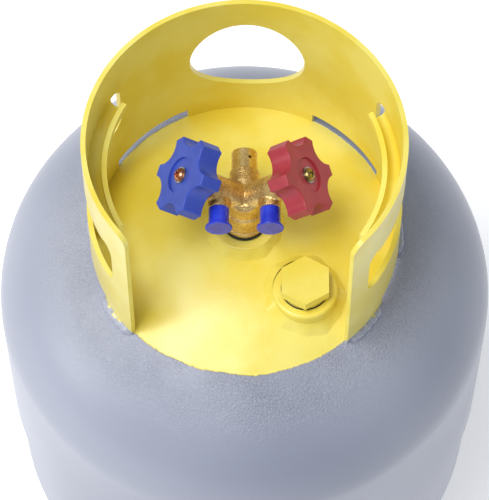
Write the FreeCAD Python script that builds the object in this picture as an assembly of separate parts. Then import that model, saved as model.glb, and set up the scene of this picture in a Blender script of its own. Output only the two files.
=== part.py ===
import FreeCAD, Part
import math
import os

# Refillable refrigerant recovery cylinder, millimetres.
# Origin: centre of the foot ring's underside. +Z up, -Y towards the collar opening and the ports.

# Pressure shell
shell_diameter = 311.0
shell_wall = 3.0
top_tangent_height = 283.0
top_head_height = 88.75
seam_height = 176.0
lap_length = 12.0
lap_clearance = 0.1
bottom_tangent_height = 99.5
bottom_head_height = 79.5
head_pole_flat = 2.0
seam_weld_size = 2.4
seam_weld_bulge = 0.62

# Foot ring
foot_diameter = 234.0
foot_wall = 3.0
foot_flange = 7.0
foot_bend = 2.0
foot_weld_size = 5.0
foot_weld_rim = 1.0
vent_count = 4
vent_diameter = 20.0
vent_height = 24.0
first_vent_bearing = 45.0

# Collar
collar_diameter = 190.0
collar_wall = 3.0
collar_rise = 107.05
collar_turn = -2.5
opening_half_angle = 43.5
opening_corner_radius = 9.0
rear_hole_diameter = 70.0
rear_hole_rise = 47.85
rear_hole_turn = 1.4
slot_front_angle = 52.4
slot_back_angle = 123.2
slot_bottom_rise = 30.25
slot_top_rise = 74.25
slot_corner_radius = 9.0
grip_front_angle = 58.0
grip_back_angle = 117.5
grip_bend_radius = 4.0
grip_straight = 2.0
grip_lip_height = 5.0
drain_notch_height = 10.0
drain_notches = [(119.5, 155.0), (-155.0, -119.5), (64.0, 84.0), (-86.0, -60.0)]
collar_stitches = [(-178.0, 16.0), (98.0, 12.0), (-100.0, 12.0), (54.0, 9.0), (-53.0, 9.0)]
collar_weld_size = 4.5

# Valve boss on the crown
valve_boss_diameter = 40.0
valve_boss_height = 4.8
valve_boss_depth = 7.0
valve_weld_diameter = 55.0
valve_weld_drop = 1.4
valve_weld_hollow = 0.36
inlet_diameter = 25.4
boss_edge = 1.2
thread_clearance = 0.05

# Threaded plug and its boss
plug_across = 36.5
plug_forward = 44.6
plug_boss_diameter = 39.6
plug_boss_rise = 8.57
plug_boss_length = 24.0
plug_weld_diameter = 58.0
plug_weld_rise = 4.5
plug_weld_sink = 2.2
plug_weld_spread = 1.0
plug_boss_edge = 1.9
plug_hex_flats = 28.5
plug_hex_height = 7.3
plug_hex_chamfer = 0.6
plug_neck_diameter = 28.0
plug_neck_height = 4.2
plug_thread_diameter = 26.4
plug_thread_length = 16.0
plug_seal_height = 0.9
plug_seal_overhang = 0.5

# Valve body
inlet_depth = 13.0
seal_ring_height = 2.4
seal_ring_overhang = 1.3
seal_ring_round = 0.35
exposed_thread_height = 3.6
exposed_thread_rings = 3
thread_depth = 0.7
base_collar_diameter = 24.6
base_collar_height = 15.0
base_collar_chamfer = 0.8
base_collar_edge = 0.5
column_diameter = 22.0
column_rise = 33.45
column_top_rise = 6.5
facet_rise = 3.4
facet_angle = 45.0
passage_diameter = 5.0
passage_offset = 5.2
branch_angle = 38.9
branch_diameter = 16.4
branch_length = 27.0
seat_distance = 14.0
chamber_diameter = 11.0
bonnet_thread_diameter = 11.8
bonnet_thread_length = 4.4
port_across = 15.3
port_drop = 2.0
port_boss_diameter = 13.4
port_boss_reach = 12.2
port_thread_diameter = 11.1
port_thread_length = 11.4
port_bore_diameter = 4.8
port_flare_length = 2.6
port_flare_slope = 0.75
forging_blend = 1.8

# Relief valve behind the body
relief_barrel_diameter = 18.3
relief_barrel_back = 17.7
relief_seat_back = 6.0
relief_bore_diameter = 12.6
relief_inlet_diameter = 3.6
relief_cap_diameter = 15.9
relief_cap_back = 31.6
relief_cap_thread_length = 6.0
relief_cap_bore = 8.6
relief_cap_end_wall = 3.0
relief_vent_diameter = 2.0
relief_vent_inset = 3.5
relief_vent_lean = 25.0
poppet_diameter = 9.0
poppet_thickness = 2.0
poppet_stem_diameter = 3.4
poppet_stem_length = 12.0
relief_seal_thickness = 1.6
relief_seal_diameter = 7.6
relief_seal_sink = 0.8
spring_wire_diameter = 1.1
spring_coil_diameter = 6.2
spring_turns = 6

# Stem, bonnet and seat disc of each branch
bonnet_gasket_thickness = 0.8
bonnet_gasket_inset = 0.3
bonnet_hex_flats = 15.0
bonnet_hex_height = 4.0
bonnet_neck_diameter = 10.4
bonnet_neck_height = 2.0
stem_diameter = 7.0
running_clearance = 0.05
seat_gap = 0.05
seat_disc_diameter = 8.0
seat_disc_thickness = 2.0
seat_pin_diameter = 3.0
seat_pin_length = 4.0
stem_collar_diameter = 9.2
stem_collar_thickness = 1.5
ring_groove_depth = 1.0
ring_groove_width = 1.2
stem_ring_insets = [3.2, 0.2]
stem_square = 5.5
stem_square_rise = 2.0
stem_square_length = 9.0

# Handwheel
wheel_flats = 49.5
wheel_thickness = 14.0
wheel_gap = 1.6
scallop_radius = 11.0
scallop_centre_radius = 29.2
wheel_edge = 1.0
wheel_rim_edge = 0.8
wheel_back_bore = 27.0
wheel_back_depth = 7.5
wheel_hub_diameter = 15.0
wheel_hub_setback = 1.2
wheel_recess_diameter = 22.0
wheel_recess_depth = 1.2
square_clearance = 0.05
washer_diameter = 10.0
washer_thickness = 1.0
screw_head_diameter = 8.2
screw_head_height = 2.6
screw_diameter = 4.0
screw_length = 11.0
screw_clearance = 0.1
screw_tip_gap = 0.5
screw_head_rim = 0.6
screw_head_dome = 0.55
screw_head_shoulder = 0.72
cross_slot_width = 1.1
cross_slot_length = 4.6
cross_slot_depth = 1.5
wheel_turn = 22.0

# Port caps
cap_wall = 0.6
cap_flange_diameter = 16.2
cap_flange_thickness = 1.5
cap_gap = 0.2
cap_edge = 0.5

# Liquid dip tube
dip_tube_diameter = 9.5
dip_tube_wall = 1.0
dip_tube_socket = 8.0
dip_tube_floor_gap = 9.0
dip_tube_bevel = 45.0

sides = {"vapor": -1, "liquid": 1}
up = FreeCAD.Vector(0, 0, 1)
back = FreeCAD.Vector(0, 1, 0)
origin = FreeCAD.Vector(0, 0, 0)

shell_radius = shell_diameter / 2
lower_radius = shell_radius - shell_wall - lap_clearance
crown_height = top_tangent_height + top_head_height
collar_top_height = crown_height + collar_rise
rear_hole_height = crown_height + rear_hole_rise
slot_bottom_height = crown_height + slot_bottom_rise
slot_top_height = crown_height + slot_top_rise
column_centre_height = crown_height + column_rise
valve_boss_top = crown_height + valve_boss_height
plug_centre = FreeCAD.Vector(plug_across, -plug_forward, 0)
base_collar_bottom = valve_boss_top + seal_ring_height + exposed_thread_height
branch_origin = FreeCAD.Vector(0, 0, column_centre_height)
branch_radians = math.radians(branch_angle)
port_height = branch_origin.z + port_across * math.tan(branch_radians) - port_drop
bonnet_bottom = branch_length - bonnet_thread_length
hex_bottom = branch_length + bonnet_gasket_thickness
bonnet_top = hex_bottom + bonnet_hex_height + bonnet_neck_height
disc_bottom = seat_distance + seat_gap
stem_bottom = disc_bottom + seat_disc_thickness + seat_gap
stem_square_distance = bonnet_top + stem_square_rise
stem_ring_distances = [hex_bottom - inset for inset in stem_ring_insets]
wheel_back_distance = bonnet_top + wheel_gap
wheel_face_distance = wheel_back_distance + wheel_thickness
washer_bottom = wheel_face_distance - wheel_recess_depth


def place(x, y, z):
    return FreeCAD.Vector(x, y, z)


def cylinder(radius, start, end):
    run = end - start
    return Part.makeCylinder(radius, run.Length, start, run)


def upright(radius, low, high, centre=origin):
    return cylinder(radius, place(centre.x, centre.y, low), place(centre.x, centre.y, high))


def upright_tube(outer_radius, inner_radius, low, high, centre=origin):
    return upright(outer_radius, low, high, centre).cut(upright(inner_radius, low, high, centre))


def spun(points, angle=360.0):
    # A closed outline of (radius, height) pairs turned about the Z axis.
    corners = [place(radius, 0, height) for radius, height in points]
    wire = Part.makePolygon(corners + [corners[0]])
    return Part.Face(wire).revolve(origin, up, angle)


def spun_edges(edges, angle=360.0):
    return Part.Face(Part.Wire(edges)).revolve(origin, up, angle)


def line(start, end):
    return Part.LineSegment(start, end).toShape()


def arc(start, middle, end):
    return Part.Arc(start, middle, end).toShape()


def hexagon(flats, low, high, centre=origin, first_angle=0.0):
    # first_angle is the direction of the first corner.
    corner_radius = flats / math.sqrt(3)
    corners = []
    for index in range(7):
        angle = math.radians(first_angle + 60 * index)
        corners.append(place(centre.x + corner_radius * math.cos(angle),
                             centre.y + corner_radius * math.sin(angle), low))
    return Part.Face(Part.makePolygon(corners)).extrude(place(0, 0, high - low))


def one_solid(shape):
    clean = shape.removeSplitter()
    if len(clean.Solids) == 1:
        return clean.Solids[0]
    return clean


def bearing_direction(bearing):
    # Bearings run from the collar opening, positive towards +X.
    turned = math.radians(bearing)
    return place(math.sin(turned), -math.cos(turned), 0)


def turned_to(shape, bearing):
    # Turns a shape made at +X so that its middle faces the bearing.
    copy = shape.copy()
    copy.rotate(origin, up, bearing - 90.0)
    return copy


def sector(outer_radius, inner_radius, low, high, first, last):
    ring = spun([(inner_radius, low), (outer_radius, low), (outer_radius, high), (inner_radius, high)],
                last - first)
    return turned_to(ring, first)


def save(name, shape):
    shape.exportStep("parts/" + name + ".step")


# Pressure shell

def head_edge(radius, rise):
    # A quarter ellipse that stops at the small flat round the axis.
    curve = Part.Ellipse(place(radius, 0, 0), place(0, 0, rise), origin)
    return Part.ArcOfEllipse(curve, 0, math.acos(head_pole_flat / radius)).toShape()


def pole(radius, rise):
    return place(head_pole_flat, 0, rise * math.sqrt(1 - (head_pole_flat / radius) ** 2))


def head_height(radius):
    return top_tangent_height + top_head_height * math.sqrt(1 - (radius / shell_radius) ** 2)


plug_boss_top_height = head_height(math.hypot(plug_across, plug_forward)) + plug_boss_rise


def bottom_height(radius):
    return bottom_tangent_height - bottom_head_height * math.sqrt(1 - (radius / lower_radius) ** 2)


def dished_shell(radius, skirt, rise):
    # Built with its tangent plane at height 0 and its crown up.
    inner_radius = radius - shell_wall
    inner_rise = rise - shell_wall
    outer_pole = pole(radius, rise)
    inner_pole = pole(inner_radius, inner_rise)
    edges = [line(place(radius, 0, -skirt), place(radius, 0, 0)),
             head_edge(radius, rise),
             line(outer_pole, place(0, 0, outer_pole.z)),
             line(place(0, 0, outer_pole.z), place(0, 0, inner_pole.z)),
             line(place(0, 0, inner_pole.z), inner_pole),
             head_edge(inner_radius, inner_rise),
             line(place(inner_radius, 0, 0), place(inner_radius, 0, -skirt)),
             line(place(inner_radius, 0, -skirt), place(radius, 0, -skirt))]
    return spun_edges(Part.__sortEdges__(edges))


def dished_block(radius, skirt, rise):
    outer_pole = pole(radius, rise)
    edges = [line(place(radius, 0, -skirt), place(radius, 0, 0)),
             head_edge(radius, rise),
             line(outer_pole, place(0, 0, outer_pole.z)),
             line(place(0, 0, outer_pole.z), place(0, 0, -skirt)),
             line(place(0, 0, -skirt), place(radius, 0, -skirt))]
    return spun_edges(Part.__sortEdges__(edges))


def set_on_top(shape):
    moved = shape.copy()
    moved.translate(up * top_tangent_height)
    return moved


def set_at_bottom(shape):
    moved = shape.copy()
    moved.rotate(origin, place(1, 0, 0), 180.0)
    moved.translate(up * bottom_tangent_height)
    return moved


def top_block():
    return set_on_top(dished_block(shell_radius, top_tangent_height - seam_height, top_head_height))


def bottom_block():
    return set_at_bottom(dished_block(lower_radius, seam_height - bottom_tangent_height, bottom_head_height))


def make_upper_shell():
    shell = set_on_top(dished_shell(shell_radius, top_tangent_height - seam_height, top_head_height))
    boss_hole = upright(valve_boss_diameter / 2, crown_height - 3 * shell_wall, crown_height + shell_wall)
    plug_hole = upright(plug_boss_diameter / 2, top_tangent_height, crown_height, plug_centre)
    return one_solid(shell.cut(boss_hole).cut(plug_hole))


def make_lower_shell():
    skirt = seam_height + lap_length - bottom_tangent_height
    return one_solid(set_at_bottom(dished_shell(lower_radius, skirt, bottom_head_height)))


def make_shell_weld():
    bulge = seam_weld_size * seam_weld_bulge
    return spun([(lower_radius, seam_height), (lower_radius, seam_height - seam_weld_size),
                 (lower_radius + bulge, seam_height - bulge), (lower_radius + seam_weld_size, seam_height)])


# Foot ring

def make_foot_ring():
    outer = foot_diameter / 2
    inner = outer - foot_wall
    top = bottom_height(inner) + foot_wall
    wall = spun([(inner - foot_flange, 0), (outer - foot_bend, 0), (outer, foot_bend), (outer, top),
                 (inner, top), (inner, foot_wall + foot_bend), (inner - foot_bend, foot_wall),
                 (inner - foot_flange, foot_wall)])
    wall = wall.cut(bottom_block())
    for index in range(vent_count):
        bearing = first_vent_bearing + 360.0 / vent_count * index
        direction = bearing_direction(bearing)
        start = direction * (inner - foot_flange) + up * vent_height
        wall = wall.cut(cylinder(vent_diameter / 2, start, start + direction * 3 * foot_flange))
    return one_solid(wall)


def make_foot_weld(foot_ring, lower_shell):
    outer = foot_diameter / 2
    junction = bottom_height(outer)
    reach = outer + foot_weld_size
    bead = spun([(outer - foot_wall / 2, junction), (outer, junction - foot_weld_size),
                 (reach, bottom_height(reach)), (reach - foot_weld_rim, bottom_height(reach) + shell_wall / 2),
                 (outer, junction + shell_wall / 2)])
    return one_solid(bead.cut(lower_shell).cut(foot_ring))


# Collar

def make_side_slot(first, last):
    outer = collar_diameter / 2 + collar_wall
    inner = collar_diameter / 2 - 2 * collar_wall
    block = sector(outer, inner, slot_bottom_height, slot_top_height, first, last)
    corners = []
    for edge in block.Edges:
        ends = [vertex.Point for vertex in edge.Vertexes]
        if len(ends) == 2 and abs(ends[0].z - ends[1].z) < 0.01:
            radial = abs(ends[0].Length - ends[1].Length)
            if abs((ends[0] - ends[1]).Length - (outer - inner)) < 0.01 and radial > 0.1:
                corners.append(edge)
    return block.makeFillet(slot_corner_radius, corners)


def make_grip(first, last):
    # A sheet tab rolled inwards under the slot's top edge, with its free lip turned up.
    outer = collar_diameter / 2
    inner = outer - collar_wall
    bend_centre = inner - grip_bend_radius
    bend_height = slot_top_height - grip_straight
    large = grip_bend_radius + collar_wall
    lip_outer = bend_centre - grip_bend_radius
    lip_inner = bend_centre - large
    lip_top = bend_height + grip_lip_height
    root = slot_top_height + 1.0
    edges = [line(place(outer, 0, root), place(outer, 0, bend_height)),
             arc(place(outer, 0, bend_height), place(bend_centre, 0, bend_height - large),
                 place(lip_inner, 0, bend_height)),
             line(place(lip_inner, 0, bend_height), place(lip_inner, 0, lip_top)),
             line(place(lip_inner, 0, lip_top), place(lip_outer, 0, lip_top)),
             line(place(lip_outer, 0, lip_top), place(lip_outer, 0, bend_height)),
             arc(place(lip_outer, 0, bend_height), place(bend_centre, 0, bend_height - grip_bend_radius),
                 place(inner, 0, bend_height)),
             line(place(inner, 0, bend_height), place(inner, 0, root)),
             line(place(inner, 0, root), place(outer, 0, root))]
    return turned_to(spun_edges(edges, last - first), first)


def make_collar():
    outer = collar_diameter / 2
    inner = outer - collar_wall
    base = head_height(outer) - collar_wall
    wall = sector(outer, inner, base, collar_top_height, opening_half_angle, 360.0 - opening_half_angle)
    corners = []
    for edge in wall.Edges:
        ends = [vertex.Point for vertex in edge.Vertexes]
        if len(ends) == 2 and abs((ends[0] - ends[1]).Length - collar_wall) < 0.01:
            if abs(ends[0].z - collar_top_height) < 0.01 and abs(ends[1].z - collar_top_height) < 0.01:
                corners.append(edge)
    wall = wall.makeFillet(opening_corner_radius, corners)
    rear = bearing_direction(180.0 + rear_hole_turn)
    wall = wall.cut(cylinder(rear_hole_diameter / 2, rear * (outer / 2) + up * rear_hole_height,
                             rear * (outer * 1.2) + up * rear_hole_height))
    for side in (-1, 1):
        slot_bearings = sorted([side * slot_front_angle, side * slot_back_angle])
        wall = wall.cut(make_side_slot(*slot_bearings))
        grip_bearings = sorted([side * grip_front_angle, side * grip_back_angle])
        wall = wall.fuse(make_grip(*grip_bearings))
    for first, last in drain_notches:
        wall = wall.cut(sector(outer + collar_wall, inner - collar_wall, base - collar_wall,
                               head_height(outer) + drain_notch_height, first, last))
    wall = one_solid(wall.cut(top_block()))
    wall.rotate(origin, up, collar_turn)
    return wall


def make_collar_welds(collar, upper_shell):
    outer = collar_diameter / 2
    foot = head_height(outer)
    reach = outer + collar_weld_size
    beads = []
    for bearing, half_width in collar_stitches:
        bead = spun([(outer, foot + collar_weld_size), (outer, foot - shell_wall / 2),
                     (reach, head_height(reach) - shell_wall / 2), (reach, head_height(reach))],
                    2 * half_width)
        bead = turned_to(bead, bearing - half_width + collar_turn)
        beads.append(one_solid(bead.cut(upper_shell).cut(collar)))
    return Part.makeCompound(beads)


# Bosses in the head and the plug

def make_valve_boss():
    boss = upright_tube(valve_boss_diameter / 2, inlet_diameter / 2 + thread_clearance,
                        crown_height - valve_boss_depth, valve_boss_top)
    rims = [edge for edge in boss.Edges if abs(edge.BoundBox.ZMin - valve_boss_top) < 0.01
            and abs(edge.BoundBox.ZMax - valve_boss_top) < 0.01]
    return one_solid(boss.makeFillet(boss_edge, rims))


def make_valve_boss_weld(boss, upper_shell):
    inner = valve_boss_diameter / 2
    reach = valve_weld_diameter / 2
    sunk = head_height(reach) - shell_wall / 3
    rim = place(reach, 0, head_height(reach))
    top = place(inner, 0, valve_boss_top - valve_weld_drop)
    middle = place(inner + (reach - inner) * valve_weld_hollow, 0,
                   head_height(reach) + valve_boss_height * valve_weld_hollow)
    edges = [line(place(inner, 0, sunk), place(reach, 0, sunk)), line(place(reach, 0, sunk), rim),
             arc(rim, middle, top), line(top, place(inner, 0, sunk))]
    return one_solid(spun_edges(edges).cut(upper_shell).cut(boss))


def make_plug_boss():
    bottom = plug_boss_top_height - plug_boss_length
    boss = upright_tube(plug_boss_diameter / 2, plug_thread_diameter / 2 + thread_clearance,
                        bottom, plug_boss_top_height, plug_centre)
    outer_rims = [edge for edge in boss.Edges if abs(edge.BoundBox.ZMin - plug_boss_top_height) < 0.01
                  and abs(edge.BoundBox.XLength - plug_boss_diameter) < 0.01]
    return one_solid(boss.makeFillet(plug_boss_edge, outer_rims))


def make_plug_boss_weld(boss, upper_shell):
    # The bead stands square to the sloping head, round an upright boss.
    radius = math.hypot(plug_across, plug_forward)
    foot = plug_centre * 1.0
    foot.z = head_height(radius)
    normal = place(plug_centre.x / shell_radius ** 2, plug_centre.y / shell_radius ** 2,
                   (foot.z - top_tangent_height) / top_head_height ** 2)
    normal.normalize()
    wide = plug_weld_diameter / 2 + plug_weld_spread
    narrow = plug_boss_diameter / 2
    bead = Part.makeCone(wide, narrow, plug_weld_rise + plug_weld_sink,
                         foot - normal * plug_weld_sink, normal)
    inside = upright(narrow, top_tangent_height, plug_boss_top_height + shell_wall, plug_centre)
    return one_solid(bead.cut(upper_shell).cut(inside))


def make_hex_plug():
    neck_bottom = plug_boss_top_height + plug_seal_height
    hex_low = neck_bottom + plug_neck_height - plug_seal_height
    hex_high = hex_low + plug_hex_height
    head = hexagon(plug_hex_flats, hex_low, hex_high, plug_centre, 90.0)
    corner_radius = plug_hex_flats / math.sqrt(3)
    chamfer = Part.makeCone(corner_radius + plug_hex_height, corner_radius - plug_hex_chamfer,
                            plug_hex_height + plug_hex_chamfer,
                            place(plug_centre.x, plug_centre.y, hex_low), up)
    head = head.common(chamfer)
    neck = upright(plug_neck_diameter / 2, neck_bottom, hex_low, plug_centre)
    thread = upright(plug_thread_diameter / 2, plug_boss_top_height - plug_thread_length, neck_bottom,
                     plug_centre)
    return one_solid(head.fuse(neck).fuse(thread))


def make_plug_seal():
    return upright_tube(plug_neck_diameter / 2 + plug_seal_overhang,
                        plug_thread_diameter / 2 + thread_clearance,
                        plug_boss_top_height, plug_boss_top_height + plug_seal_height, plug_centre)


# Valve body

def branch_direction(side):
    return place(side * math.cos(branch_radians), 0, math.sin(branch_radians))


def branch_point(side, distance):
    return branch_origin + branch_direction(side) * distance


def on_branch(shape, side):
    # Moves a shape built about +Z, with its foot distance as height, onto a branch.
    moved = shape.copy()
    moved.Placement = FreeCAD.Placement(branch_origin, FreeCAD.Rotation(up, branch_direction(side)))
    return moved


def make_base(inlet_bottom):
    spigot = upright(inlet_diameter / 2, inlet_bottom, base_collar_bottom)
    ring_pitch = exposed_thread_height / exposed_thread_rings
    start = valve_boss_top + seal_ring_height
    ridge = inlet_diameter / 2
    for index in range(exposed_thread_rings):
        low = start + index * ring_pitch
        spigot = spigot.fuse(spun([(0, low), (ridge, low), (ridge + thread_depth, low + ring_pitch / 2),
                                   (ridge, low + ring_pitch), (0, low + ring_pitch)]))
    top = base_collar_bottom + base_collar_height
    radius = base_collar_diameter / 2
    collar = spun([(0, base_collar_bottom), (radius - base_collar_chamfer, base_collar_bottom),
                   (radius, base_collar_bottom + base_collar_chamfer), (radius, top - base_collar_edge),
                   (radius - base_collar_edge, top), (0, top)])
    return spigot.fuse(collar)


def branch_hollow(side):
    passage = cylinder(passage_diameter / 2, branch_point(side, passage_offset / math.cos(branch_radians)),
                       branch_point(side, seat_distance))
    chamber = cylinder(chamber_diameter / 2, branch_point(side, seat_distance),
                       branch_point(side, bonnet_bottom))
    mouth = cylinder(bonnet_thread_diameter / 2 + thread_clearance, branch_point(side, bonnet_bottom),
                     branch_point(side, branch_length + 1.0))
    port_base = place(side * port_across, 0, port_height)
    bore = cylinder(port_bore_diameter / 2, port_base,
                    port_base - back * (port_boss_reach + port_thread_length + 1.0))
    return passage.fuse(chamber).fuse(mouth).fuse(bore)


def make_column():
    # A drum with a flat sloping facet in front, under the round elbow of the relief branch.
    drum = upright(column_diameter / 2, base_collar_bottom + base_collar_height - 1.0,
                   column_centre_height + column_top_rise)
    facet = Part.makeBox(4 * column_diameter, 4 * column_diameter, 2 * column_diameter,
                         place(-2 * column_diameter, -2 * column_diameter, 0))
    facet.rotate(origin, place(1, 0, 0), facet_angle)
    facet.translate(place(0, -column_diameter / 2, column_centre_height + facet_rise))
    elbow = Part.makeSphere(relief_barrel_diameter / 2, relief_point(0))
    barrel = cylinder(relief_barrel_diameter / 2, relief_point(0), relief_point(relief_barrel_back))
    return drum.cut(facet).fuse(elbow).fuse(barrel)


def make_arm(side):
    # The branch and its port boss, with the blend between them. The two arms are mirror images.
    arm = cylinder(branch_diameter / 2, branch_origin, branch_point(1, branch_length))
    port_base = place(port_across, 0, port_height)
    arm = one_solid(arm.fuse(cylinder(port_boss_diameter / 2, port_base, port_base - back * port_boss_reach)))
    joints = [edge for edge in arm.Edges if edge.Curve.TypeId == "Part::GeomBSplineCurve"]
    arm = arm.makeFillet(forging_blend, joints)
    return arm if side > 0 else arm.mirror(origin, place(1, 0, 0))


def make_port_thread(side):
    port_base = place(side * port_across, 0, port_height)
    thread_end = port_base - back * (port_boss_reach + port_thread_length - port_flare_length)
    flare_end_radius = port_thread_diameter / 2 - port_flare_length * port_flare_slope
    flare = Part.makeCone(port_thread_diameter / 2, flare_end_radius, port_flare_length, thread_end, back * -1)
    return cylinder(port_thread_diameter / 2, port_base, thread_end).fuse(flare)


def make_valve_body():
    inlet_bottom = valve_boss_top - inlet_depth
    body = make_column().fuse(make_base(inlet_bottom))
    for side in sides.values():
        body = body.fuse(make_arm(side))
        body = body.fuse(make_port_thread(side))
    for side in sides.values():
        body = body.cut(branch_hollow(side))
        passage_top = branch_origin.z + passage_offset * math.tan(branch_radians)
        body = body.cut(upright(passage_diameter / 2, inlet_bottom - 1.0, passage_top,
                                place(side * passage_offset, 0, 0)))
    socket = upright(dip_tube_diameter / 2 + thread_clearance, inlet_bottom - 1.0,
                     inlet_bottom + dip_tube_socket, place(passage_offset, 0, 0))
    body = body.cut(socket)
    seat = relief_point(relief_seat_back)
    body = body.cut(cylinder(relief_bore_diameter / 2, seat, relief_point(relief_barrel_back + 1.0)))
    vapor_side = relief_point(0) + place(sides["vapor"] * passage_offset, 0, 0)
    body = body.cut(cylinder(relief_inlet_diameter / 2, vapor_side, seat + back * 0.5))
    return one_solid(body)


def make_inlet_seal():
    outer = inlet_diameter / 2 + seal_ring_overhang
    ring = upright_tube(outer, inlet_diameter / 2 + thread_clearance, valve_boss_top,
                        valve_boss_top + seal_ring_height)
    rims = [edge for edge in ring.Edges if abs(edge.BoundBox.XLength - 2 * outer) < 0.01
            and edge.BoundBox.ZLength < 0.01]
    return one_solid(ring.makeFillet(seal_ring_height * seal_ring_round, rims))


def make_dip_tube():
    centre = place(passage_offset, 0, 0)
    top = valve_boss_top - inlet_depth + dip_tube_socket
    floor = bottom_tangent_height - bottom_head_height + shell_wall
    bottom = floor + dip_tube_floor_gap
    pipe = upright_tube(dip_tube_diameter / 2, dip_tube_diameter / 2 - dip_tube_wall, bottom, top, centre)
    bevel = Part.makeBox(4 * dip_tube_diameter, 4 * dip_tube_diameter, 4 * dip_tube_diameter,
                         place(-2 * dip_tube_diameter, -2 * dip_tube_diameter, -4 * dip_tube_diameter))
    bevel.rotate(origin, back, dip_tube_bevel)
    bevel.translate(place(centre.x, 0, bottom + dip_tube_diameter / 2))
    return one_solid(pipe.cut(bevel))


# Relief valve

def relief_point(distance):
    return place(0, distance, column_centre_height)


def make_relief_cap():
    thread_start = relief_barrel_back - relief_cap_thread_length
    thread = cylinder(relief_bore_diameter / 2 - thread_clearance, relief_point(thread_start),
                      relief_point(relief_barrel_back))
    body = cylinder(relief_cap_diameter / 2, relief_point(relief_barrel_back), relief_point(relief_cap_back))
    rims = [edge for edge in body.Edges if abs(edge.BoundBox.YMin - relief_cap_back) < 0.01
            and edge.BoundBox.YLength < 0.01]
    body = body.makeFillet(boss_edge, rims)
    cap = thread.fuse(body)
    cap = cap.cut(cylinder(relief_cap_bore / 2, relief_point(thread_start - 1.0),
                           relief_point(relief_cap_back - relief_cap_end_wall)))
    vent_lean = math.radians(relief_vent_lean)
    vent_foot = relief_point(relief_cap_back - relief_cap_end_wall - relief_vent_inset)
    vent_reach = place(math.sin(vent_lean), 0, math.cos(vent_lean)) * relief_cap_diameter
    return one_solid(cap.cut(cylinder(relief_vent_diameter / 2, vent_foot, vent_foot + vent_reach)))


def poppet_start():
    return relief_seat_back + seat_gap + relief_seal_thickness - relief_seal_sink


def make_relief_seal():
    start = relief_seat_back + seat_gap
    return cylinder(relief_seal_diameter / 2, relief_point(start), relief_point(start + relief_seal_thickness))


def make_relief_poppet():
    start = poppet_start()
    disc = cylinder(poppet_diameter / 2, relief_point(start), relief_point(start + poppet_thickness))
    guide = cylinder(poppet_stem_diameter / 2, relief_point(start),
                     relief_point(start + poppet_thickness + poppet_stem_length))
    return one_solid(disc.fuse(guide).cut(make_relief_seal()))


def make_relief_spring():
    first = poppet_start() + poppet_thickness
    last = relief_cap_back - relief_cap_end_wall
    wire_radius = spring_wire_diameter / 2
    low = first + wire_radius + seat_gap
    run = last - first - 2 * (wire_radius + seat_gap)
    path = Part.makeHelix(run / spring_turns, run, spring_coil_diameter / 2)
    start = path.Vertexes[0].Point
    section = Part.Wire(Part.makeCircle(wire_radius, start, back))
    coil = Part.Wire(path.Edges).makePipeShell([section], True, True)
    coil.rotate(origin, place(1, 0, 0), -90.0)
    coil.translate(relief_point(low))
    return Part.Solid(coil) if coil.ShapeType == "Shell" else coil


# Stem, bonnet, seat disc and handwheel, built about +Z

def make_bonnet():
    thread = upright(bonnet_thread_diameter / 2, bonnet_bottom, hex_bottom)
    hex_top = hex_bottom + bonnet_hex_height
    nut = hexagon(bonnet_hex_flats, hex_bottom, hex_top)
    neck = upright(bonnet_neck_diameter / 2, hex_top, bonnet_top)
    bore = upright(stem_diameter / 2 + running_clearance, bonnet_bottom - 1.0, bonnet_top + 1.0)
    return one_solid(thread.fuse(nut).fuse(neck).cut(bore))


def make_bonnet_gasket():
    return upright_tube(branch_diameter / 2 - bonnet_gasket_inset, bonnet_thread_diameter / 2 + thread_clearance,
                        branch_length, hex_bottom)


def make_seat_disc():
    disc = upright(seat_disc_diameter / 2, disc_bottom, disc_bottom + seat_disc_thickness)
    pin_top = disc_bottom + seat_disc_thickness + seat_pin_length
    return one_solid(disc.fuse(upright(seat_pin_diameter / 2, disc_bottom, pin_top)))


def stem_square_block(width, low, high):
    return Part.makeBox(width, width, high - low, place(-width / 2, -width / 2, low))


def make_stem():
    square_top = stem_square_distance + stem_square_length
    collar = upright(stem_collar_diameter / 2, stem_bottom, stem_bottom + stem_collar_thickness)
    rod = upright(stem_diameter / 2, stem_bottom, stem_square_distance)
    stem = collar.fuse(rod).fuse(stem_square_block(stem_square, stem_square_distance, square_top))
    pin_hole_top = stem_bottom + seat_pin_length + seat_gap
    stem = stem.cut(upright(seat_pin_diameter / 2 + running_clearance, stem_bottom - 1.0, pin_hole_top))
    for distance in stem_ring_distances:
        half = ring_groove_width / 2
        stem = stem.cut(upright_tube(stem_diameter, stem_diameter / 2 - ring_groove_depth,
                                     distance - half, distance + half))
    hole_bottom = washer_bottom + washer_thickness - screw_length - screw_tip_gap
    return one_solid(stem.cut(upright(screw_diameter / 2 + thread_clearance, hole_bottom, square_top + 1.0)))


def make_stem_rings():
    rings = []
    for distance in stem_ring_distances:
        rings.append(Part.makeTorus(stem_diameter / 2 - ring_groove_depth / 2, ring_groove_depth / 2,
                                    place(0, 0, distance), up))
    return Part.makeCompound(rings)


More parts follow.
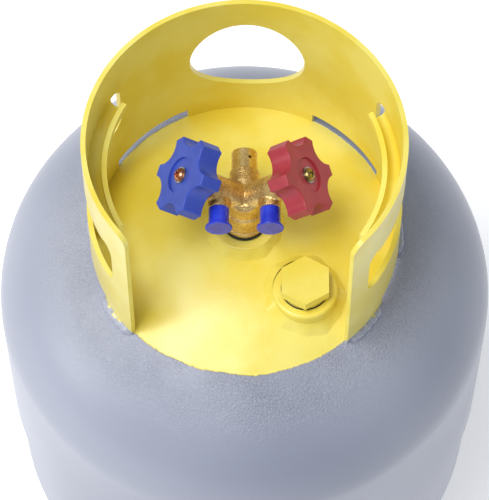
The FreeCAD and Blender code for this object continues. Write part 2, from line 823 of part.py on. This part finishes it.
def make_handwheel():
    low = wheel_back_distance
    wheel = hexagon(wheel_flats, low, wheel_face_distance)
    for index in range(6):
        angle = math.radians(60 * index)
        centre = place(scallop_centre_radius * math.cos(angle), scallop_centre_radius * math.sin(angle), 0)
        wheel = wheel.cut(upright(scallop_radius, low - 1.0, wheel_face_distance + 1.0, centre))
    wheel = one_solid(wheel)
    uprights = [edge for edge in wheel.Edges if edge.BoundBox.ZLength > wheel_thickness - 0.1]
    wheel = wheel.makeFillet(wheel_edge, uprights)
    rims = [edge for edge in wheel.Edges if edge.BoundBox.ZLength < 0.01]
    wheel = wheel.makeFillet(wheel_rim_edge, rims)
    hollow_top = low + wheel_back_depth
    hollow = upright(wheel_back_bore / 2, low - 1.0, hollow_top)
    hollow = hollow.cut(upright(wheel_hub_diameter / 2, low + wheel_hub_setback, hollow_top))
    wheel = wheel.cut(hollow)
    square_top = stem_square_distance + stem_square_length + square_clearance
    wheel = wheel.cut(stem_square_block(stem_square + 2 * square_clearance, low - 1.0, square_top))
    wheel = wheel.cut(upright(screw_diameter / 2 + screw_clearance, low, wheel_face_distance + 1.0))
    wheel = wheel.cut(upright(wheel_recess_diameter / 2, washer_bottom, wheel_face_distance + 1.0))
    wheel.rotate(origin, up, wheel_turn)
    return one_solid(wheel)


def make_washer():
    return upright_tube(washer_diameter / 2, screw_diameter / 2 + screw_clearance, washer_bottom,
                        washer_bottom + washer_thickness)


def make_wheel_screw():
    under_head = washer_bottom + washer_thickness
    top = under_head + screw_head_height
    radius = screw_head_diameter / 2
    edges = [line(place(0, 0, under_head), place(radius, 0, under_head)),
             line(place(radius, 0, under_head), place(radius, 0, under_head + screw_head_rim)),
             arc(place(radius, 0, under_head + screw_head_rim),
                 place(radius * screw_head_shoulder, 0, top - screw_head_dome), place(0, 0, top)),
             line(place(0, 0, top), place(0, 0, under_head))]
    head = spun_edges(edges)
    shank = upright(screw_diameter / 2, under_head - screw_length, under_head)
    screw = head.fuse(shank)
    for width, length in ((cross_slot_width, cross_slot_length), (cross_slot_length, cross_slot_width)):
        screw = screw.cut(Part.makeBox(width, length, cross_slot_depth + 1.0,
                                       place(-width / 2, -length / 2, top - cross_slot_depth)))
    return one_solid(screw)


def make_port_cap(side):
    start = port_boss_reach + cap_gap
    inside_end = port_boss_reach + port_thread_length + cap_gap
    bore_radius = port_thread_diameter / 2 + running_clearance
    centre = place(side * port_across, 0, port_height)
    barrel = cylinder(bore_radius + cap_wall, centre - back * start, centre - back * inside_end)
    flange_start = centre - back * inside_end
    flange = cylinder(cap_flange_diameter / 2, flange_start, flange_start - back * cap_flange_thickness)
    rims = [edge for edge in flange.Edges if edge.BoundBox.YLength < 0.01]
    flange = flange.makeFillet(cap_edge, rims)
    bore = cylinder(bore_radius, centre - back * (start - 1.0), flange_start)
    return one_solid(barrel.fuse(flange).cut(bore))


os.makedirs("parts", exist_ok=True)

upper_shell = make_upper_shell()
lower_shell = make_lower_shell()
foot_ring = make_foot_ring()
collar = make_collar()
valve_boss = make_valve_boss()
plug_boss = make_plug_boss()

save("upper_shell", upper_shell)
save("lower_shell", lower_shell)
save("shell_weld", make_shell_weld())
save("foot_ring", foot_ring)
save("foot_ring_weld", make_foot_weld(foot_ring, lower_shell))
save("collar", collar)
save("collar_welds", make_collar_welds(collar, upper_shell))
save("valve_boss", valve_boss)
save("valve_boss_weld", make_valve_boss_weld(valve_boss, upper_shell))
save("plug_boss", plug_boss)
save("plug_boss_weld", make_plug_boss_weld(plug_boss, upper_shell))
save("hex_plug", make_hex_plug())
save("plug_seal", make_plug_seal())
save("valve_body", make_valve_body())
save("inlet_seal", make_inlet_seal())
save("dip_tube", make_dip_tube())
save("relief_cap", make_relief_cap())
save("relief_seal", make_relief_seal())
save("relief_poppet", make_relief_poppet())
save("relief_spring", make_relief_spring())

for side_name, side in sides.items():
    save(side_name + "_bonnet", on_branch(make_bonnet(), side))
    save(side_name + "_bonnet_gasket", on_branch(make_bonnet_gasket(), side))
    save(side_name + "_seat_disc", on_branch(make_seat_disc(), side))
    save(side_name + "_stem", on_branch(make_stem(), side))
    save(side_name + "_stem_rings", on_branch(make_stem_rings(), side))
    save(side_name + "_handwheel", on_branch(make_handwheel(), side))
    save(side_name + "_washer", on_branch(make_washer(), side))
    save(side_name + "_wheel_screw", on_branch(make_wheel_screw(), side))
    save(side_name + "_port_cap", make_port_cap(side))
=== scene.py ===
import math

import bmesh
import bpy
from mathutils import Matrix, Vector


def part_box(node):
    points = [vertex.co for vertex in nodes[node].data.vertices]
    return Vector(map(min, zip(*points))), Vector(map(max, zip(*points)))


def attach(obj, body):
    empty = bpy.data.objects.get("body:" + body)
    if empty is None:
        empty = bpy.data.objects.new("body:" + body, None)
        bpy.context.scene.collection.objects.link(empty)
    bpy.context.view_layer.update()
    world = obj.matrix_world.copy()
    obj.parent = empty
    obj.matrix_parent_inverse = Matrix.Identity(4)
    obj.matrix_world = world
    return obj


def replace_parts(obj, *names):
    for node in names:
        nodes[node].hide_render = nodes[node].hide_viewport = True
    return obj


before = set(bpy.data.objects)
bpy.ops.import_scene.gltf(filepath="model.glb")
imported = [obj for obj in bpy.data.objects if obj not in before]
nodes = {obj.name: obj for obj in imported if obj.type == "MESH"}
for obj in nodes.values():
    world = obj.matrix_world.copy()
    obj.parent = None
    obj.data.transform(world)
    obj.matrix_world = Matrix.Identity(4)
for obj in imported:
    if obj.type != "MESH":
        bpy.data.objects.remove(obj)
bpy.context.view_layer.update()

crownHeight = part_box("upper_shell")[1].z
collarRadius = (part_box("collar")[1].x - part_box("collar")[0].x) / 2


class Wire:  # one socket, so that sums on it add their Math nodes
    def __init__(self, tree, socket):
        self.tree = tree
        self.socket = socket

    def calc(self, operation, first, second):
        made = self.tree.nodes.new("ShaderNodeMath")
        made.operation = operation
        for entry, value in zip(made.inputs, (first, second)):
            feed(self.tree, entry, value)
        return Wire(self.tree, made.outputs[0])

    def __add__(self, other):
        return self.calc("ADD", self, other)

    def __sub__(self, other):
        return self.calc("SUBTRACT", self, other)

    def __rsub__(self, other):
        return self.calc("SUBTRACT", other, self)

    def __mul__(self, other):
        return self.calc("MULTIPLY", self, other)

    def __pow__(self, other):
        return self.calc("POWER", self, other)

    __radd__ = __add__
    __rmul__ = __mul__


def feed(tree, entry, value):
    if isinstance(value, Wire):
        tree.links.new(value.socket, entry)
    else:
        entry.default_value = value


def tone(red, green, blue):  # a colour as seen, made linear
    parts = []
    for part in (red, green, blue):
        share = part / 255
        parts.append(share / 12.92 if share < 0.04045 else ((share + 0.055) / 1.055) ** 2.4)
    return (*parts, 1.0)


class Finish:
    def __init__(self, name, **fixed):
        self.material = bpy.data.materials.new(name)
        self.material.use_nodes = True
        self.tree = self.material.node_tree
        self.shader = self.tree.nodes["Principled BSDF"]
        for socket, value in fixed.items():
            self.shader.inputs[socket.replace("_", " ")].default_value = value
        self.spot = self.node("TexCoord", out="Object")

    def node(self, kind, settings=(), out=0, **entries):
        made = self.tree.nodes.new("ShaderNode" + kind)
        for key, value in dict(settings).items():
            setattr(made, key, value)
        byName = {entry.identifier: entry for entry in made.inputs}
        for key, value in entries.items():
            feed(self.tree, byName.get(key) or made.inputs[key], value)
        return Wire(self.tree, made.outputs[out])

    def noise(self, scale, detail=2.0, rough=0.5):
        return self.node("TexNoise", Vector=self.spot, Scale=scale, Detail=detail, Roughness=rough)

    def step(self, value, low, high, first=0.0, last=1.0):
        return self.node("MapRange", {"interpolation_type": "SMOOTHSTEP"}, Value=value,
                         **{"From Min": low, "From Max": high, "To Min": first, "To Max": last})

    def mix(self, first, second, share):
        return self.node("Mix", {"data_type": "RGBA"}, out=2,
                         Factor_Float=share, A_Color=first, B_Color=second)

    def bump(self, height):  # heights are in metres
        return self.node("Bump", Height=height, Distance=1.0, Strength=1.0)

    def split(self):  # the height and the distance from the upright axis
        made = self.node("SeparateXYZ", Vector=self.spot)
        x, y, z = (Wire(self.tree, made.socket.node.outputs[index]) for index in range(3))
        return z, (x * x + y * y) ** 0.5

    def set(self, **sockets):
        for socket, value in sockets.items():
            feed(self.tree, self.shader.inputs[socket.replace("_", " ")], value)
        return self.material


print("finishes")

paints = {"greyLight": (164, 168, 184), "greyDark": (140, 145, 163), "greySpeck": (214, 216, 226),
          "yellowDeep": (234, 212, 72), "yellowPale": (240, 226, 116), "yellowWorn": (224, 194, 50),
          "speckShare": 0.55, "pitShare": 0.6, "peelScale": 300.0, "peelDepth": 0.00007}


def greyPaint(finish, rough):
    drift = finish.noise(6.0, 1.0)
    base = finish.mix(tone(*paints["greyDark"]), tone(*paints["greyLight"]), finish.step(drift, 0.3, 0.7))
    specks = finish.step(finish.noise(900.0, 4.0, 0.7), 0.50, 0.72) * rough
    return finish.mix(base, tone(*paints["greySpeck"]), specks * paints["speckShare"])


def yellowPaint(finish):
    drift = finish.noise(22.0, 3.0)
    cloud = finish.step(drift, 0.35, 0.65)
    base = finish.mix(tone(*paints["yellowDeep"]), tone(*paints["yellowPale"]), cloud)
    pits = finish.step(finish.noise(420.0, 2.0), 0.70, 0.78)
    return finish.mix(base, tone(*paints["yellowWorn"]), pits * paints["pitShare"])


def orangePeel(finish):
    return finish.noise(paints["peelScale"], 2.0) * paints["peelDepth"]


shellLook = {"coat": 0.25, "coatRough": 0.25, "smoothRough": 0.36, "crinkleRough": 0.55,
             "edge": 0.0928, "edgeSoft": 0.0004, "edgeWander": 0.0026, "edgeFray": 0.0014,
             "headLow": 0.28, "headHigh": 0.30, "crinkleStart": 0.100, "crinkleEnd": 0.142,
             "crinkleScale": 800.0, "crinkleDepth": 0.0016, "dentDepth": 0.00045, "ridgeDepth": 0.00025}


def shellPaint():  # yellow inside the collar, grey outside it, crinkled next to it
    look = shellLook
    finish = Finish("twoTonePaint", Coat_Roughness=look["coatRough"])
    height, reach = finish.split()
    wander = (finish.noise(45.0, 3.0) - 0.5) * look["edgeWander"]
    wander += (finish.noise(420.0, 3.0) - 0.5) * look["edgeFray"]
    outside = finish.step(reach + wander, look["edge"] - look["edgeSoft"], look["edge"] + look["edgeSoft"])
    onHead = finish.step(height, look["headLow"], look["headHigh"])
    grey = 1 - (1 - outside) * onHead
    crinkle = (1 - finish.step(reach, look["crinkleStart"], look["crinkleEnd"])) * outside * onHead
    crinkle = crinkle * finish.step(finish.noise(30.0, 2.0), 0.35, 0.6, 0.6, 1.0)  # in patches
    colour = finish.mix(yellowPaint(finish), greyPaint(finish, crinkle), grey)
    wrinkle = finish.noise(look["crinkleScale"], 3.0, 0.6) * crinkle * look["crinkleDepth"]
    dents = finish.noise(26.0, 2.0) * look["dentDepth"]
    ridge = finish.step(reach + wander, look["edge"] - 0.0012, look["edge"] + 0.0002)
    ridge = ridge * look["ridgeDepth"] * onHead
    return finish.set(
        Base_Color=colour, Coat_Weight=look["coat"],
        Roughness=finish.step(crinkle, 0.0, 1.0, look["smoothRough"], look["crinkleRough"]),
        Normal=finish.bump(wrinkle + orangePeel(finish) + dents + ridge))


collarLook = {"coat": 0.3, "coatRough": 0.2, "roughLow": 0.30, "roughHigh": 0.42, "dustTop": 0.0136,
              "dustLow": 0.0148, "ripple": 0.003, "dentDepth": 0.00035, "dustDepth": 0.0003}


def collarPaint():  # yellow, with grey dust on the outside of its foot
    look = collarLook
    finish = Finish("yellowPowderPaint", Coat_Roughness=look["coatRough"])
    height, reach = finish.split()
    ripple = (finish.noise(260.0, 3.0) + finish.noise(60.0, 2.0) - 1.0) * look["ripple"]
    foot = 1 - finish.step(height + ripple, crownHeight - look["dustLow"], crownHeight - look["dustTop"])
    dust = foot * finish.step(reach, collarRadius - 0.0012, collarRadius - 0.0004)
    colour = finish.mix(yellowPaint(finish), greyPaint(finish, dust), dust)
    dents = finish.noise(30.0, 2.0) * look["dentDepth"]
    grain = finish.noise(520.0, 4.0) * dust * look["dustDepth"]
    return finish.set(
        Base_Color=colour, Coat_Weight=look["coat"],
        Roughness=finish.step(finish.noise(40.0), 0.3, 0.7, look["roughLow"], look["roughHigh"]),
        Normal=finish.bump(orangePeel(finish) + dents + grain))


bossLook = {"coat": 0.35, "coatRough": 0.2, "roughLow": 0.28, "roughHigh": 0.40, "runDepth": 0.00025}


def bossPaint():  # thicker yellow, run over the beads
    look = bossLook
    finish = Finish("yellowBossPaint", Coat_Roughness=look["coatRough"])
    runs = finish.noise(140.0, 3.0) * look["runDepth"] + orangePeel(finish)
    return finish.set(
        Base_Color=yellowPaint(finish), Coat_Weight=look["coat"],
        Roughness=finish.step(finish.noise(60.0), 0.3, 0.7, look["roughLow"], look["roughHigh"]),
        Normal=finish.bump(runs))


def brass(name, light, dark, grain, depth, roughLow, roughHigh):
    finish = Finish(name)
    fine = finish.noise(grain, 3.0, 0.6)
    stain = finish.step(finish.noise(110.0, 4.0, 0.6) * 0.5 + fine * 0.5, 0.40, 0.60)
    coarse = finish.noise(grain / 3, 2.0) * depth
    return finish.set(
        Base_Color=finish.mix(tone(*dark), tone(*light), stain), Metallic=0.88,
        Roughness=finish.step(fine, 0.3, 0.7, roughLow, roughHigh),
        Normal=finish.bump(fine * depth + coarse))


wheelLook = {"gloss": 1.48, "roughLow": 0.40, "roughHigh": 0.52, "grainDepth": 0.00003, "sinkDepth": 0.00008}


def wheelPlastic(name, light, dark):
    look = wheelLook
    finish = Finish(name, IOR=look["gloss"])
    colour = finish.mix(tone(*dark), tone(*light), finish.step(finish.noise(90.0, 3.0), 0.3, 0.7))
    grain = finish.noise(1500.0, 2.0) * look["grainDepth"]
    scuff = finish.step(finish.noise(240.0, 4.0), 0.58, 0.7)
    return finish.set(
        Base_Color=colour, Roughness=finish.step(scuff, 0.0, 1.0, look["roughLow"], look["roughHigh"]),
        Normal=finish.bump(grain + finish.noise(120.0) * look["sinkDepth"]))


def plainFinish(name, light, dark, metal, rough, grain=600.0, depth=0.00003, coat=0.0):
    finish = Finish(name, Metallic=metal)
    cloud = finish.noise(grain / 4, 3.0)
    fine = finish.noise(grain, 3.0)
    return finish.set(
        Base_Color=finish.mix(tone(*dark), tone(*light), finish.step(cloud, 0.3, 0.7)), Coat_Weight=coat,
        Roughness=finish.step(fine, 0.3, 0.7, rough - 0.05, rough + 0.07), Normal=finish.bump(fine * depth))


finishes = {
    "shell": shellPaint(),
    "collar": collarPaint(),
    "boss": bossPaint(),
    "forged": brass("sandForgedBrass", (244, 212, 142), (206, 164, 98), 1100.0, 0.00035, 0.26, 0.38),
    "machined": brass("turnedBrass", (246, 216, 148), (216, 176, 104), 1600.0, 0.00003, 0.22, 0.34),
    "copper": plainFinish("copperScrewPlating", (214, 150, 118), (170, 104, 78), 1.0, 0.25),
    "zinc": plainFinish("yellowZincPlating", (206, 190, 140), (160, 138, 84), 1.0, 0.28),
    "plated": plainFinish("platedWasherSteel", (196, 192, 184), (150, 146, 138), 1.0, 0.32),
    "blue": wheelPlastic("blueWheelPlastic", (54, 80, 186), (48, 72, 172)),
    "red": wheelPlastic("redWheelPlastic", (172, 56, 68), (160, 48, 60)),
    "cap": plainFinish("blueCapVinyl", (44, 66, 214), (28, 42, 178), 0.0, 0.26, 300.0, 0.00004, 0.3),
    "rubber": plainFinish("blackSealRubber", (34, 36, 36), (18, 20, 22), 0.0, 0.55),
    "nylon": plainFinish("whiteSeatNylon", (226, 224, 214), (204, 200, 188), 0.0, 0.5),
    "gasket": plainFinish("copperGasket", (196, 128, 92), (150, 92, 62), 1.0, 0.38),
    "steel": plainFinish("drawnTubeSteel", (150, 152, 156), (112, 114, 120), 1.0, 0.38),
    "spring": plainFinish("springSteel", (138, 138, 142), (92, 92, 98), 1.0, 0.3),
}

wearing = {
    "shell": ["upper_shell", "lower_shell", "shell_weld", "foot_ring", "foot_ring_weld"],
    "collar": ["collar", "collar_welds"],
    "boss": ["valve_boss", "valve_boss_weld", "plug_boss", "plug_boss_weld", "hex_plug"],
    "forged": ["valve_body"],
    "machined": ["relief_cap", "relief_poppet", "vapor_bonnet", "liquid_bonnet", "vapor_stem", "liquid_stem"],
    "copper": ["vapor_wheel_screw"],
    "zinc": ["liquid_wheel_screw"],
    "plated": ["vapor_washer", "liquid_washer"],
    "blue": ["vapor_handwheel"],
    "red": ["liquid_handwheel"],
    "cap": ["vapor_port_cap", "liquid_port_cap"],
    "rubber": ["inlet_seal", "plug_seal", "relief_seal", "vapor_stem_rings", "liquid_stem_rings"],
    "nylon": ["vapor_seat_disc", "liquid_seat_disc"],
    "gasket": ["vapor_bonnet_gasket", "liquid_bonnet_gasket"],
    "steel": ["dip_tube"],
    "spring": ["relief_spring"],
}

for key, names in wearing.items():
    for name in names:
        mesh = nodes[name].data
        mesh.materials.clear()
        mesh.materials.append(finishes[key])

print("beads and edges")

beads = {"segments": 120, "rise": 0.0060, "sink": 0.0014, "rings": 9, "wobble": 0.00035, "lobes": 5,
         "ripple": 0.00009, "ripples": 46, "valveInner": 0.0199, "valveOuter": 0.0275,
         "plugInner": 0.0197, "plugOuter": 0.0292}
headRise = 0.08875  # the crown above the head's widest turn
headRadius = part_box("upper_shell")[1].x
headFoot = crownHeight - headRise


def addPiece(name, shape, finish, body):
    bmesh.ops.recalc_face_normals(shape, faces=shape.faces)
    for face in shape.faces:
        face.smooth = True
    mesh = bpy.data.meshes.new(name)
    shape.to_mesh(mesh)
    shape.free()
    piece = bpy.data.objects.new(name, mesh)
    bpy.context.scene.collection.objects.link(piece)
    mesh.materials.append(finishes[finish])
    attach(piece, body)
    return piece


def headHeight(x, y):
    return headFoot + headRise * math.sqrt(max(0.0, 1 - (x * x + y * y) / headRadius ** 2))


# a hollow bead laid from the head up the side of its boss
def weldBead(name, centre, inner, outer, replaced):
    shape = bmesh.new()
    profile = []
    for step in range(beads["rings"] + 1):
        share = step / beads["rings"]
        out = outer + (inner - outer) * share
        up = (beads["rise"] + beads["sink"]) * share ** 1.5 - beads["sink"]
        profile.append(shape.verts.new((out, 0, up)))
    edges = [shape.edges.new(pair) for pair in zip(profile, profile[1:])]
    bmesh.ops.spin(shape, geom=profile + edges, cent=(0, 0, 0), axis=(0, 0, 1), angle=math.tau,
                   steps=beads["segments"], use_merge=True)
    for vert in shape.verts:
        out = math.hypot(vert.co.x, vert.co.y)
        turn = math.atan2(vert.co.y, vert.co.x)
        free = min(1.0, max(0.0, (out - inner) / (outer - inner)) * 3)  # none where it meets the boss
        lump = beads["wobble"] * (math.sin(beads["lobes"] * turn + 1.1) + 0.6 * math.sin(11 * turn + 0.4))
        lump += beads["ripple"] * math.sin(beads["ripples"] * turn)
        stretch = 1 + free * lump / out * 1.6
        x, y = centre[0] + vert.co.x * stretch, centre[1] + vert.co.y * stretch
        vert.co = (x, y, headHeight(x, y) + vert.co.z + free * (1 - free * 0.5) * lump * 0.8)
    piece = addPiece(name, shape, "boss", "cylinder")
    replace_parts(piece, replaced)


stitches = {"bearings": ((-180.5, 16), (95.5, 12), (-102.5, 12), (51.5, 9), (-55.5, 9)), "thick": 0.0033,
            "lift": 0.0006, "round": 14, "steps": 40, "ends": 0.18}


def stitchBead(bearing, half):  # a round bead laid along the collar's foot, thin at both ends
    ring = bmesh.new()
    bmesh.ops.create_circle(ring, segments=stitches["round"], radius=stitches["thick"])
    bmesh.ops.rotate(ring, verts=ring.verts, cent=(0, 0, 0), matrix=Matrix.Rotation(math.pi / 2, 3, "X"))
    foot = headHeight(collarRadius, 0) + stitches["lift"]
    bmesh.ops.translate(ring, verts=ring.verts, vec=(collarRadius, 0, foot))
    start = math.radians(bearing - half - 90)
    bmesh.ops.rotate(ring, verts=ring.verts, cent=(0, 0, 0), matrix=Matrix.Rotation(start, 3, "Z"))
    bmesh.ops.spin(ring, geom=ring.verts[:] + ring.edges[:], cent=(0, 0, 0), axis=(0, 0, 1),
                   angle=math.radians(2 * half), steps=stitches["steps"])
    bmesh.ops.holes_fill(ring, edges=[edge for edge in ring.edges if edge.is_boundary])
    for vert in ring.verts:
        turn = math.atan2(vert.co.y, vert.co.x)
        along = ((turn - start) % math.tau) / math.radians(2 * half)
        along = min(1.0, along) if along < 4 else 0.0  # a hair before the start counts as the start
        thin = min(1.0, (min(along, 1 - along) + 0.02) / stitches["ends"]) ** 0.5
        thin *= 1 + 0.08 * math.sin(along * half * 3.4) + 0.05 * math.sin(along * half * 7.9 + 1)
        middle = Vector((math.cos(turn) * collarRadius, math.sin(turn) * collarRadius, foot))
        vert.co = middle + (vert.co - middle) * thin
    return ring


beadMesh = bpy.data.meshes.new("stitches")
allBeads = bmesh.new()
for bearing, half in stitches["bearings"]:
    single = stitchBead(bearing, half)
    single.to_mesh(beadMesh)
    allBeads.from_mesh(beadMesh)
    single.free()
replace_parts(addPiece("collar_stitch_beads", allBeads, "collar", "cylinder"), "collar_welds")

bossLow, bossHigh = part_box("plug_boss")
plugCentre = ((bossLow.x + bossHigh.x) / 2, (bossLow.y + bossHigh.y) / 2)
weldBead("plug_boss_bead", plugCentre, beads["plugInner"], beads["plugOuter"], "plug_boss_weld")
weldBead("valve_boss_bead", (0.0, 0.0), beads["valveInner"], beads["valveOuter"], "valve_boss_weld")


def mergeDoubles(node):
    weld = node.modifiers.new("weld", "WELD")
    weld.merge_threshold = 0.000002


plugEdge = {"width": 0.0005, "segments": 2, "angle": 40}
plug = nodes["hex_plug"]
mergeDoubles(plug)
edge = plug.modifiers.new("edge", "BEVEL")
edge.width = plugEdge["width"]
edge.segments = plugEdge["segments"]
edge.limit_method = "ANGLE"
edge.angle_limit = math.radians(plugEdge["angle"])

forgedSkin = {"voxel": 0.00045, "smooth": 0.5, "passes": 2}  # the forging's soft corners
forged = nodes["valve_body"]
mergeDoubles(forged)
skin = forged.modifiers.new("skin", "REMESH")
skin.mode = "VOXEL"
skin.voxel_size = forgedSkin["voxel"]
skin.use_smooth_shade = True
soft = forged.modifiers.new("soft", "SMOOTH")
soft.factor = forgedSkin["smooth"]
soft.iterations = forgedSkin["passes"]

print("studio")

studio = {"floorSize": 14.0, "floorDrop": 0.0005, "floorGlow": 0.36, "floorRough": 0.9,
          "floorFirst": (250, 250, 250), "floorSecond": (246, 246, 248),
          "sky": (0.90, 0.94, 1.0), "skyStrength": 0.40,
          "keyPlace": (-0.75, -0.45, 2.7), "keySize": 1.3, "keyPower": 52.0,
          "fillPlace": (-2.2, -0.5, 1.2), "fillSize": 0.7, "fillPower": 9.0,
          "lampAim": (0.0, 0.0, 0.35),
          "cameraPlace": (0.0, -0.8026, 1.9363), "cameraAim": (0.0, 0.0, 0.337),
          "lens": 207.06, "sensor": 36.0}

floorMesh = bpy.data.meshes.new("floor")
slab = bmesh.new()
bmesh.ops.create_grid(slab, x_segments=1, y_segments=1, size=studio["floorSize"] / 2)
bmesh.ops.translate(slab, verts=slab.verts, vec=(0, 0, -studio["floorDrop"]))
slab.to_mesh(floorMesh)
slab.free()
floor = bpy.data.objects.new("floor", floorMesh)
bpy.context.scene.collection.objects.link(floor)
floorFinish = Finish("paleFloor", Roughness=studio["floorRough"],
                     Emission_Color=(1, 1, 1, 1), Emission_Strength=studio["floorGlow"])
floorShade = floorFinish.mix(tone(*studio["floorFirst"]), tone(*studio["floorSecond"]),
                             floorFinish.noise(3.0))
floorMesh.materials.append(floorFinish.set(Base_Color=floorShade))

world = bpy.data.worlds.new("studioAir")
bpy.context.scene.world = world
world.use_nodes = True
air = world.node_tree.nodes["Background"]
air.inputs["Color"].default_value = (*studio["sky"], 1.0)
air.inputs["Strength"].default_value = studio["skyStrength"]


def addLamp(name, place, size, power):
    data = bpy.data.lights.new(name, "AREA")
    data.size = size
    data.energy = power
    lamp = bpy.data.objects.new(name, data)
    bpy.context.scene.collection.objects.link(lamp)
    lamp.location = place
    lamp.rotation_euler = (Vector(studio["lampAim"]) - Vector(place)).to_track_quat("-Z", "Y").to_euler()


addLamp("keyLamp", studio["keyPlace"], studio["keySize"], studio["keyPower"])
addLamp("fillLamp", studio["fillPlace"], studio["fillSize"], studio["fillPower"])

lens = bpy.data.cameras.new("studioCamera")
lens.lens = studio["lens"]
lens.sensor_width = studio["sensor"]
camera = bpy.data.objects.new("studioCamera", lens)
bpy.context.scene.collection.objects.link(camera)
camera.location = studio["cameraPlace"]
aim = Vector(studio["cameraAim"]) - Vector(studio["cameraPlace"])
camera.rotation_euler = aim.to_track_quat("-Z", "Y").to_euler()
bpy.context.scene.camera = camera
bpy.context.scene.view_settings.view_transform = "Standard"
